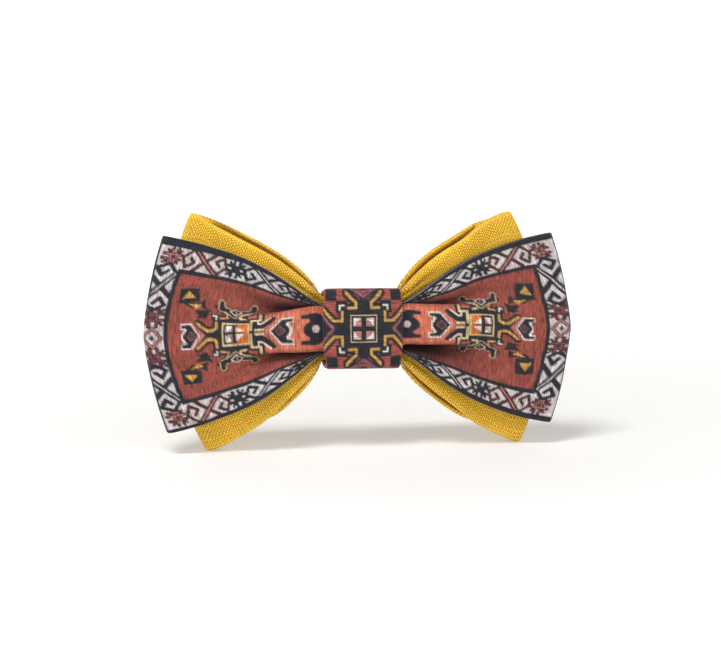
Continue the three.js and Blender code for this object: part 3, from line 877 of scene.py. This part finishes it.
def back_surface(lanes):
    lane, _ = grid(lanes, back_bow.reach)
    x, behind = back_bow.spread(lanes, BACK_HALF_HEIGHT)
    far, level = np.abs(x), np.abs(lane)
    apart = opened(x, lane)
    edge = curve(BACK_AT, BACK_EDGE_BACK, far)
    edge_ahead = edge + (curve(BACK_AT, BACK_EDGE_FRONT, far) - edge) * apart
    edge_behind = edge - 0.5 * (1 - apart) ** 8
    pleat = fades(far, 21, 23)
    high_ahead = pleated(level, pleat, *BACK_PLEAT_FRONT, edge_ahead)
    high_behind = pleated(level, pleat, *BACK_PLEAT_BACK, edge_behind)
    height = np.sign(lane) * (high_ahead * (1 - behind) + high_behind * behind)
    # between the layers the cloth puffs out ahead, and folds over behind
    near = grows(far, 11, 4) * fades(far, 32, 12) * apart
    part = level / BACK_HALF_HEIGHT
    above = np.abs(height) - edge_ahead
    puff = curve((0, 0.5, 0.7, 0.84, 0.94, 1.0), (0, 0, 1.2, 2.1, 2.1, 1.5), part)
    fold = curve((-12, -6, -2, 0.2, 1.1, 1.8, 3.0), (0, 0.3, -0.9, -1.1, 0.7, 1.3, 1.2), above)
    ridge_ahead = np.interp(level, (0, *BACK_PLEAT_FRONT[:2]), (2.6, 2.4, -0.1))
    ridge_behind = np.interp(level, (0, *BACK_PLEAT_BACK[:2]), (2.1, 1.9, 0))
    ahead = BACK_DEPTH[0] - near * puff - pleat * ridge_ahead
    rear = BACK_DEPTH[1] - near * fold - pleat * ridge_behind
    gathers = 0.3 * np.sin(level * 2 * math.pi / GATHER_PITCH) * grows(level, 7, 3) * fades(far, 13, 16)
    y = ahead * (1 - behind) + rear * behind + gathers
    away = grows(far, 12, 15) * grows(np.abs(height), 9, 6)
    y = y - away * 0.3 * ripple(x, lane, 11)
    height = height + away * 0.25 * ripple(x, lane, 12) + lifted(x)
    x = x - SKEW * height * grows(far, 0, 20)
    return np.stack([x, y, height], axis=2)


def front_station(bow):
    """A station in the middle of one wing's front layer."""
    return int(np.argmin(np.abs(bow.reach - bow.tip * 0.6) + 10 * bow.turn))


def fold_shade(strip):
    """Painted shade: the mustard cloth is darkened in the narrow gap behind the front layer's edge."""
    x, y, z = strip.outer.reshape(-1, 3).T
    above = np.abs(z - lifted(x)) - curve(BACK_AT, BACK_EDGE_FRONT, np.abs(x))
    gap = smooth(y - 0.6) * np.exp(-((above - 0.35) / 0.5) ** 2) * opened(x, z - lifted(x))
    return np.ones((len(x), 3)) * (1 - np.array([0.62, 0.68, 0.75]) * gap[:, None])


def add_lined(name, node, cover, lining, material, colours):
    """A sleeve of cloth with its stiffening inside, in place of a CAD cover and interlining."""
    pieces = [
        cover.make(name + "_cloth", material, colours),
        lining.make(name + "_stiffening", STIFFENING),
    ]
    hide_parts(node + "_cover")
    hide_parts(node + "_interlining")
    return pieces


def add_bow(name, bow, surface, half_height, spacing, coarse, material, colour):
    station = front_station(bow)
    edges = edge_lanes(half_height, bow.ply_half, spacing)
    cover = Strip(surface, edges, bow.along, station, COVER_WALL, coarse, CREASED_LANES)
    inner_half = bow.ply_half - COVER_WALL - LINING_EASE
    inner_spacing = spacing * (2 if coarse > 1 else 1)
    inner = edge_lanes(half_height - LINING_INSET, inner_half, inner_spacing, steps=1)
    lining = Strip(surface, inner, bow.along, station)
    return add_lined(name, name, cover, lining, material, colour(cover))


# ---- knot

KNOT_PLY_HALF = 0.8
KNOT_WALL = 0.32
KNOT_CORNER = 1.9
KNOT_GRID = 0.28
KNOT_LINING_INSET = 1.0
KNOT_LINING_EASE = 0.4
KNOT_LINING_GRID = 2.2
KNOT_GAP_HALF = 0.3  # half the gap between the wrap's two ends


def wrap_line(front, back, half_height, corner, seam, spacing):
    """A rounded rectangle in the y-z plane, from the middle of its back over the top and round."""
    top, rear, ahead = half_height - corner, back - corner, front + corner
    line = [np.array([[back, seam]])]
    for k, centre in enumerate(((rear, top), (ahead, top), (ahead, -top), (rear, -top))):
        turn = math.pi / 2 * (k + np.linspace(0, 1, 9))
        arc = np.array(centre) + corner * np.stack([np.cos(turn), np.sin(turn)], axis=1)
        line += [straight(line[-1][-1], arc[0], spacing), arc[1:]]
    line.append(straight(line[-1][-1], (back, -seam), spacing))
    return np.concatenate(line)


def straight(start, end, spacing):
    """Even steps from `start`, which is left out, to `end`."""
    count = max(2, int(math.dist(start, end) / spacing))
    return np.linspace(start, end, count + 1)[1:]


KNOT_LINE = wrap_line(
    KNOT_FRONT + KNOT_PLY_HALF, KNOT_BACK - KNOT_PLY_HALF,
    KNOT_HALF_HEIGHT - KNOT_PLY_HALF, KNOT_CORNER, KNOT_GAP_HALF, KNOT_GRID,
)


def knot_along():
    """Distance along the wrap, nought at the middle of its front."""
    along = distance_along(KNOT_LINE)
    front = np.flatnonzero(KNOT_LINE[:, 0] < KNOT_LINE[:, 0].min() + 0.01)
    middle = front[np.argmin(np.abs(KNOT_LINE[front, 1]))]
    return along[middle] - along


def knot_surface(lanes):
    lane, y, z = grid(lanes, *KNOT_LINE.T)
    level = z / KNOT_HALF_HEIGHT
    ahead = smooth(-y / 6)
    narrowing = np.where(z > 0, 0.05, 0.085) * level ** 2 * ahead
    x = lane * (0.972 - narrowing - 0.05 * (1 - ahead))
    across = lane / KNOT_HALF_WIDTH
    dome = ahead * (1 - level ** 2) * 0.45 * (1 - across ** 2)
    curl = 0.55 * grows(np.abs(lane), 8.6, 2.9)
    depth = y - dome + ahead * curl
    depth = depth - ahead * (0.12 * ripple(lane, z, 21, longest=14))
    over = grows(np.abs(z), 8, 2.5) * 0.25 * ripple(lane, y, 22, longest=14)
    slope = smooth(z / 8) * 0.09 * (y + 7)
    return np.stack([x, depth, z + over + DROOP - slope], axis=2)


def add_knot():
    along = knot_along()
    station = int(np.argmin(np.abs(along)))
    edges = edge_lanes(KNOT_HALF_WIDTH, KNOT_PLY_HALF, KNOT_GRID)
    cover = Strip(knot_surface, edges, along, station, KNOT_WALL, coarse=8)
    inner_half = KNOT_PLY_HALF - KNOT_LINING_EASE
    inner = edge_lanes(KNOT_HALF_WIDTH - KNOT_LINING_INSET, inner_half, KNOT_LINING_GRID, steps=1)
    lining = Strip(knot_surface, inner, along, station)
    return add_lined("knot_wrap", "knot", cover, lining, PRINTED, knot_print(cover))


# ---- neck band

BAND_HALF = 0.4  # half the strap's thickness
BAND_RUNS = (5.0, 8.9, 10.8, 13.3)  # how far back each run of the folded strap lies
BAND_TURN = 51.0  # how far out it turns, and how far in
BAND_INNER_TURN = 3.5
STRAP_END = -4.0
EYE_BAR = -20.0
HOOK_GAP = 0.3
EYE_WIRE = 0.7
HEM_LENGTH = 6.0
BAND_GRID = 0.8
BAND_STEP = 1.2


def half_turn(x, start, end, side, steps=10):
    radius = (end - start) / 2
    turn = np.linspace(0, math.pi, steps + 1)
    return np.stack([x + side * radius * np.sin(turn), start + radius * (1 - np.cos(turn))], axis=1)


def hank_side(side, end_x, end_radius):
    """One side of the folded strap, from the knot outwards to its hemmed end."""
    tunnel, second, third, last = BAND_RUNS
    hem = last + 2 * BAND_HALF + HOOK_GAP
    slope = 2.0 if end_radius > 1 else 0.0
    path = [
        np.array([[0.0, tunnel]]),
        half_turn(side * BAND_TURN, tunnel, second, side),
        half_turn(side * BAND_INNER_TURN, second, third, -side),
        half_turn(side * BAND_TURN, third, last, side),
        half_turn(end_x, last, last + 2 * end_radius, -side),
        np.array([[end_x + side * (1 + slope), hem], [end_x + side * (slope + HEM_LENGTH), hem]]),
    ]
    return np.concatenate(path)


def even_steps(path, longest):
    """The path with its long straight stretches cut into steps of at most `longest`."""
    pieces = [path[:1]]
    for a, b in zip(path[:-1], path[1:]):
        count = max(1, int(math.ceil(math.dist(a, b) / longest)))
        pieces.append(np.linspace(a, b, count + 1)[1:])
    return np.concatenate(pieces)


def band_path():
    eye_side = hank_side(-1, EYE_BAR, EYE_WIRE + HOOK_GAP + BAND_HALF)
    hook_side = hank_side(1, STRAP_END, (2 * BAND_HALF + HOOK_GAP) / 2)
    return even_steps(np.concatenate([eye_side[::-1], hook_side[1:]]), BAND_STEP)


BAND_PATH = band_path()
BAND_ALONG = distance_along(BAND_PATH)


def band_surface(lanes):
    lane, x, y, along = grid(lanes, *BAND_PATH.T, BAND_ALONG)
    calm = smooth((np.abs(np.abs(x) - BAND_TURN + 18) - 6) / 10)
    y = y + 0.1 * (1 - calm) * ripple(along, lane, 31, longest=30)
    z = lane + 0.12 * ripple(along, lane * 0, 32, longest=60)
    return np.stack([x, y, z], axis=2)


def add_band():
    edges = edge_lanes(BAND_HALF_WIDTH, BAND_HALF, BAND_GRID, steps=4)
    station = int(np.argmin(np.abs(BAND_PATH[:, 0]) + np.abs(BAND_PATH[:, 1] - BAND_RUNS[0])))
    piece = Strip(band_surface, edges, BAND_ALONG, station).make("neck_strap", STRAP_LINEN)
    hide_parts("neck_band")
    return piece


# ---- small stitched and metal pieces


THREAD_RADIUS = 0.15
STRAP_THREAD_RADIUS = 0.13
WAIST_THREAD_RADIUS = 0.2


def thread_body(points, radius, sides):
    """The vertices and faces of a closed solid thread through the points."""
    along = unit(np.gradient(points, axis=0))
    side = unit(np.cross(along, (0.13, 0.97, 0.2)))
    up = np.cross(side, along)
    turn = np.linspace(0, 2 * math.pi, sides + 1)[:-1]
    ring = np.cos(turn)[None, :, None] * side[:, None] + np.sin(turn)[None, :, None] * up[:, None]
    stations = len(points)
    from_end = np.minimum(np.arange(stations), np.arange(stations)[::-1])
    thickness = radius * np.clip(0.45 + 0.3 * from_end, 0, 1)
    body = points[:, None] + ring * thickness[:, None, None]
    faces = tube_faces(0, stations, sides)
    faces += [list(range(sides)), list(range((stations - 1) * sides, stations * sides))]
    return body.reshape(-1, 3), faces


def add_threads(name, lines, material, radius=THREAD_RADIUS, sides=8):
    """Several threads as one piece."""
    vertices, faces = [], []
    start = 0
    for line in lines:
        body, sheets = thread_body(np.asarray(line, dtype=float), radius, sides)
        vertices.append(body)
        faces += [[start + i for i in face] for face in sheets]
        start += len(body)
    mesh = bpy.data.meshes.new(name)
    mesh.from_pydata(place(np.concatenate(vertices)).tolist(), [], faces)
    return finished(name, mesh, material)


def band_point(along, lane, lift):
    """A point `lift` millimetres off the strap's middle, to the right of its path from above."""
    x, y = (np.interp(along, BAND_ALONG, column) for column in BAND_PATH.T)
    ahead = along + 0.4
    dx = np.interp(ahead, BAND_ALONG, BAND_PATH[:, 0]) - x
    dy = np.interp(ahead, BAND_ALONG, BAND_PATH[:, 1]) - y
    size = np.hypot(dx, dy) + 1e-9
    return np.array([x + lift * dy / size, y - lift * dx / size, lane])


STITCH_PITCH = 2.6
STITCH_LENGTH = 1.9
STITCH_LANE = 7.7  # how far the strap's rows of stitches are from its middle
STITCH_RISE = np.array([0.3, 0.46, 0.5, 0.46, 0.3])


def strap_stitches():
    lines = []
    for side in (-1, 1):
        for face in (-1, 1):
            for start in np.arange(3.0, BAND_ALONG[-1] - 3, STITCH_PITCH):
                spots = zip(start + np.linspace(0, STITCH_LENGTH, 5), STITCH_RISE * face)
                lines.append([band_point(along, side * STITCH_LANE, lift) for along, lift in spots])
    return lines


def hem_stitches(x):
    """A row of stitches up the strap through its folded end, `x` from the knot's middle."""
    depth = BAND_RUNS[3] + 3 * BAND_HALF + HOOK_GAP
    lift = np.array([-0.12, 0.06, 0.12, 0.06, -0.12]) + depth
    return [
        np.stack([np.full(5, x), lift, z + np.linspace(0, 1.5, 5)], axis=1)
        for z in np.arange(-7.6, 7.0, STITCH_PITCH * 0.8)
    ]


WAIST_TURNS = 6
WAIST_START = -2.4
WAIST_PITCH = 0.95
WAIST_LEAN = 0.7  # how far each turn slants


def waist_turns():
    """A bundle of turns of thread drawn tight round both bows, inside the knot."""
    line = wrap_line(front=-6.55, back=4.15, half_height=9.15, corner=1.2, seam=0.0, spacing=0.8)
    lean = np.linspace(0, WAIST_LEAN, len(line))
    return [
        np.stack([WAIST_START + WAIST_PITCH * k + lean, line[:, 0], line[:, 1]], axis=1)
        for k in range(WAIST_TURNS)
    ]


def slanting_stitches(middles, half_run, half_rise, depth, bow):
    """Stitches across two edges, by their middles and how far each end lies from its middle."""
    t = np.linspace(-1, 1, 9)
    return [
        np.stack([x + half_run * t, depth + bow * (1 - t * t), z + half_rise * t], axis=1)
        for x, z in middles
    ]


def seam_stitches(half_length, depth):
    middles = [(x, 0) for x in np.arange(-half_length, half_length, 1.5)]
    return slanting_stitches(middles, 0.35, 1.1, depth, 0.18)


def end_stitches(half_height, depth):
    middles = [(0, z) for z in np.arange(-half_height, half_height + 0.1, 1.3)]
    return slanting_stitches(middles, 1.5, 0.3, depth, 0.22)


WELD = 1e-6  # metres
FLAT = math.radians(2)  # faces that lie within this of each other are joined
SHARP = math.radians(35)  # edges sharper than this are rounded


def polished_copy(name, node, width):
    """The CAD metal piece with its edges rounded."""
    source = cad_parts[node]
    piece = new_object(name, source.data.copy())
    piece.matrix_world = source.matrix_world.copy()
    piece.data.materials.clear()
    piece.data.materials.append(NICKEL)
    fixed = bmesh.new()
    fixed.from_mesh(piece.data)
    bmesh.ops.remove_doubles(fixed, verts=fixed.verts, dist=WELD)
    bmesh.ops.dissolve_limit(fixed, angle_limit=FLAT, verts=fixed.verts, edges=fixed.edges)
    bmesh.ops.recalc_face_normals(fixed, faces=fixed.faces)
    fixed.to_mesh(piece.data)
    fixed.free()
    bevel = piece.modifiers.new("edges", "BEVEL")
    bevel.width = width * MM
    bevel.segments = 3
    bevel.limit_method = "ANGLE"
    bevel.angle_limit = SHARP
    piece.data.shade_smooth()
    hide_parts(node)
    return piece


# ---- materials


NARROW = (0.36, 0.64)  # the range that most of a noise keeps to
WIDE = (0.3, 0.7)
YARN_WANDER = 0.96  # how far the yarns stray from straight lines


class Finish:
    """Builds a material from a few kinds of node."""

    def __init__(self, name):
        self.material = bpy.data.materials.new(name)
        self.material.use_nodes = True
        self.tree = self.material.node_tree
        self.shader = self.tree.nodes["Principled BSDF"]

    def put(self, socket, value):
        if isinstance(value, bpy.types.NodeSocket):
            self.tree.links.new(value, socket)
        elif hasattr(value, "__len__") and len(value) == 3 and socket.type == "RGBA":
            socket.default_value = (*value, 1)
        else:
            socket.default_value = value

    def node(self, kind, inputs, **settings):
        made = self.tree.nodes.new(kind)
        for key, value in settings.items():
            setattr(made, key, value)
        for key, value in inputs.items():
            self.put(made.inputs[key], value)
        return made.outputs

    def math(self, operation, *values):
        return self.node("ShaderNodeMath", dict(enumerate(values)), operation=operation)[0]

    def plus(self, total, *others):
        for value in others:
            total = self.math("ADD", total, value)
        return total

    def times(self, product, *others):
        for value in others:
            product = self.math("MULTIPLY", product, value)
        return product

    def mix(self, share, a, b, blend="MIX"):
        inputs = {0: share, 6: a, 7: b}
        return self.node("ShaderNodeMix", inputs, data_type="RGBA", blend_type=blend)[2]

    def tinted(self, colour, red, green, blue):
        """The colour times a share of each channel."""
        shade = self.node("ShaderNodeCombineColor", {0: red, 1: green, 2: blue})[0]
        return self.mix(1.0, colour, shade, "MULTIPLY")

    def noise(self, vector, scale, detail=2.0, roughness=0.5):
        """Noise of one scale, or of one in each direction."""
        if isinstance(scale, tuple):
            inputs = {0: vector, 1: scale}
            vector = self.node("ShaderNodeVectorMath", inputs, operation="MULTIPLY")[0]
            scale = 1.0
        inputs = {"Vector": vector, "Scale": scale, "Detail": detail, "Roughness": roughness}
        return self.node("ShaderNodeTexNoise", inputs)["Fac"]

    def spread(self, value, ends, to_low=0.0, to_high=1.0):
        inputs = {0: value, 1: ends[0], 2: ends[1], 3: to_low, 4: to_high}
        return self.node("ShaderNodeMapRange", inputs)[0]

    def cloth_place(self):
        return self.node("ShaderNodeUVMap", {}, uv_map="cloth")[0]

    def solid_place(self):
        return self.node("ShaderNodeTexCoord", {})["Object"]

    def printed(self):
        # the colour attribute: print, and painted shade and light where the colours carry them
        return self.node("ShaderNodeAttribute", {}, attribute_name="print")["Color"]

    def weave(self, pitch):
        """A plain weave: its height, which yarn is on top, and each yarn's own tone."""
        cloth = self.cloth_place()
        along, across = self.node("ShaderNodeSeparateXYZ", {0: cloth})[:2]
        waves, tones = [], []
        for at, scale, first in ((along, 0.35, 0.0), (across, (0.3, 0.3, 0.3), 71.0)):
            at = self.plus(at, self.times(self.noise(cloth, scale, 1.0), YARN_WANDER))
            waves.append(self.math("SINE", self.times(at, math.pi / pitch)))
            yarn = self.plus(self.math("FLOOR", self.math("DIVIDE", at, pitch)), first)
            tone = self.node("ShaderNodeTexWhiteNoise", {"W": yarn}, noise_dimensions="1D")
            tones.append(tone["Value"])
        over = self.times(*waves)
        heights = [
            self.math("MULTIPLY_ADD", over, lift, self.times(self.math("ABSOLUTE", wave), 0.6))
            for wave, lift in zip(waves, (0.45, -0.45))
        ]
        height = self.math("MAXIMUM", *heights)
        on_top = self.math("GREATER_THAN", *heights)
        under = self.math("SUBTRACT", 1.0, on_top)
        tone = self.plus(self.times(tones[0], on_top), self.times(tones[1], under))
        return height, on_top, tone

    def relief(self, height, distance):
        bump = self.node("ShaderNodeBump", {"Height": height, "Distance": distance * MM, "Strength": 1.0})
        self.put(self.shader.inputs["Normal"], bump[0])

    def set(self, **values):
        for name, value in values.items():
            self.put(self.shader.inputs[name.replace("_", " ")], value)


def printed_cotton():
    f = Finish("printed_cotton")
    height, _, tone = f.weave(0.36)
    cloth = f.cloth_place()
    streaks = f.noise(cloth, (2.3, 0.3, 1.0), 3.0, 0.65)
    blotch = f.noise(cloth, 0.22, 3.0, 0.6)
    grain = f.noise(cloth, 2.6, 2.0, 0.6)
    warmth = f.noise(cloth, (0.9, 0.35, 1.0), 2.0, 0.6)
    light = f.plus(
        f.spread(streaks, NARROW, 0.6, 1.4),
        f.spread(blotch, NARROW, -0.13, 0.13),
        f.spread(grain, NARROW, -0.2, 0.2),
        f.spread(tone, (0.0, 1.0), -0.07, 0.07),
    )
    # painted shade in the weave's hollows and a faint painted highlight on its crests
    light = f.times(light, f.spread(height, (0.1, 0.9), 0.8, 1.06))
    green = f.times(light, f.spread(warmth, NARROW, 0.92, 1.09))
    colour = f.tinted(f.printed(), light, green, light)
    f.set(Base_Color=colour, Roughness=f.spread(grain, WIDE, 0.72, 0.86))
    f.set(Specular_IOR_Level=0.25, Sheen_Weight=0.12, Sheen_Roughness=0.45)
    f.relief(height, 0.05)
    return f.material


def mustard_linen(name, pitch, shaded):
    f = Finish(name)
    height, on_top, tone = f.weave(pitch)
    cloth = f.cloth_place()
    slubs = f.noise(cloth, (0.28, 2.0, 1.0), 3.0, 0.65)
    cross_slubs = f.noise(cloth, (2.0, 0.3, 1.0), 3.0, 0.65)
    blotch = f.noise(cloth, 0.12, 2.0, 0.5)
    yarn = f.mix(on_top, linear(212, 146, 12), linear(252, 206, 48))
    yarn = f.mix(f.spread(tone, (0.25, 1.0), 0.0, 0.6), yarn, linear(255, 214, 84))
    # random slubs and blotches, with painted shade in the weave's hollows and painted highlight on its
    # crests
    light = f.times(
        f.spread(slubs, WIDE, 0.84, 1.12),
        f.spread(cross_slubs, WIDE, 0.86, 1.1),
        f.spread(height, (0.1, 0.85), 0.3, 1.22),
        f.spread(blotch, WIDE, 0.94, 1.06),
    )
    colour = f.tinted(yarn, light, light, light)
    # painted shade in the gap behind the front layer's edge, from the colour attribute
    if shaded:
        colour = f.mix(1.0, colour, f.printed(), "MULTIPLY")
    f.set(Base_Color=colour, Roughness=f.spread(slubs, WIDE, 0.5, 0.72))
    f.set(Specular_IOR_Level=0.35, Sheen_Weight=0.2, Sheen_Roughness=0.4)
    f.relief(f.math("MULTIPLY_ADD", slubs, 0.5, height), 0.09)
    return f.material


def stiffening():
    f = Finish("woven_stiffening")
    height, _, _ = f.weave(0.8)
    fuzz = f.noise(f.cloth_place(), 3.0, 3.0, 0.7)
    # random fuzz, with painted shade in the weave's hollows
    light = f.times(f.spread(fuzz, WIDE, 0.86, 1.0), f.spread(height, (0.1, 0.9), 0.8, 1.0))
    f.set(Base_Color=f.tinted(linear(238, 232, 220), light, light, light), Roughness=0.9)
    f.relief(height, 0.08)
    return f.material


def sewing_thread(name, colour):
    f = Finish(name)
    spot = f.solid_place()
    inputs = {"Vector": spot, "Scale": 1500.0, "Distortion": 1.2}
    twist = f.node("ShaderNodeTexWave", inputs, bands_direction="DIAGONAL")["Fac"]
    fuzz = f.noise(spot, 2500.0)
    # painted shade in the twist's grooves, by the same waves that make its relief
    tint = f.mix(f.spread(twist, (0.2, 0.8)), colour * 0.62, colour)
    tint = f.mix(f.spread(fuzz, (0.35, 0.7), 0.0, 0.35), tint, colour * 1.35)
    f.set(Base_Color=tint, Roughness=f.spread(fuzz, WIDE, 0.45, 0.65), Sheen_Weight=0.2)
    f.relief(twist, 0.05)
    return f.material


def nickel():
    f = Finish("nickel_plate")
    spot = f.solid_place()
    clouds = f.noise(spot, 160.0, 3.0)
    scratches = f.noise(spot, (300.0, 2600.0, 2600.0), 2.0, 0.7)
    colour = f.mix(f.spread(clouds, WIDE), linear(206, 204, 198), linear(224, 222, 216))
    rough = f.plus(f.spread(clouds, WIDE, 0.16, 0.26), f.spread(scratches, (0.45, 0.8), 0.0, 0.14))
    f.set(Base_Color=colour, Metallic=1.0, Roughness=rough)
    f.relief(scratches, 0.01)
    return f.material


def backdrop_paper():
    """White paper, lit from behind away from the middle so that it has no edge."""
    f = Finish("paper")
    spot = f.solid_place()
    away = f.node("ShaderNodeVectorMath", {0: spot}, operation="LENGTH")["Value"]
    grain = f.noise(spot, 900.0, 3.0, 0.6)
    f.set(Base_Color=f.mix(grain, (0.885, 0.88, 0.87), (0.905, 0.9, 0.89)), Roughness=0.85)
    glow = f.spread(away, (0.08, 0.6), 0.07, 0.5)
    f.set(Emission_Color=(1.0, 1.0, 0.995), Emission_Strength=glow)
    return f.material


# ---- assembly

PRINTED = printed_cotton()
MUSTARD = mustard_linen("mustard_linen", 0.58, shaded=True)
STRAP_LINEN = mustard_linen("mustard_linen_strap", 0.45, shaded=False)
STIFFENING = stiffening()
RED_THREAD = sewing_thread("russet_thread", linear(140, 72, 52))
YELLOW_THREAD = sewing_thread("mustard_thread", linear(222, 160, 44))
NICKEL = nickel()


def ride(pieces, body, *slots):
    for piece, slot in zip(pieces, slots):
        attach(piece, body)


front_pieces = add_bow(
    "front_bow", front_bow, front_surface, FRONT_HALF_HEIGHT, FINE, 8, PRINTED, bow_print_and_shade)
back_pieces = add_bow(
    "back_bow", back_bow, back_surface, BACK_HALF_HEIGHT, BACK_SPACING, 1, MUSTARD, fold_shade)
knot_pieces = add_knot()
strap = add_band()
ride(front_pieces, "bow", "printed_cotton", "interlining")
ride(back_pieces, "bow", "mustard_linen", "interlining")
ride(knot_pieces, "bow", "printed_cotton", "interlining")
ride([strap], "band", "mustard_linen")

strap_seams = add_threads("strap_edge_stitching", strap_stitches(), YELLOW_THREAD,
                          STRAP_THREAD_RADIUS, sides=6)
eye_hem = add_threads("eye_hem_stitching", hem_stitches(EYE_BAR - 5.5), YELLOW_THREAD)
end_hem = add_threads("strap_end_stitching", hem_stitches(STRAP_END + 3.5), YELLOW_THREAD)
waist = add_threads("waist_binding", waist_turns(), RED_THREAD, WAIST_THREAD_RADIUS)
seam = add_threads("knot_seam_stitching", seam_stitches(10.2, KNOT_BACK - 0.05), RED_THREAD)
front_end = add_threads("front_bow_end_stitching", end_stitches(5.0, -1.0), RED_THREAD)
back_end = add_threads("back_bow_end_stitching", end_stitches(7.4, 3.95), RED_THREAD)
ride([strap_seams, eye_hem, end_hem], "band", *["sewing_thread"] * 3)
ride([waist, seam, front_end, back_end], "bow", *["sewing_thread"] * 4)
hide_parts("eye_hem_stitch")
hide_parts("strap_end_stitch")
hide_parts("waist_thread")
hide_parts("knot_seam_stitch")
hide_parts("front_bow_end_stitch")
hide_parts("back_bow_end_stitch")

hook = polished_copy("slide_hook_plated", "slide_hook", 0.22)
eye = polished_copy("band_eye_plated", "band_eye", 0.1)
ride([hook], "hook", "nickel")
ride([eye], "eye", "nickel")

add_camera()
add_studio()
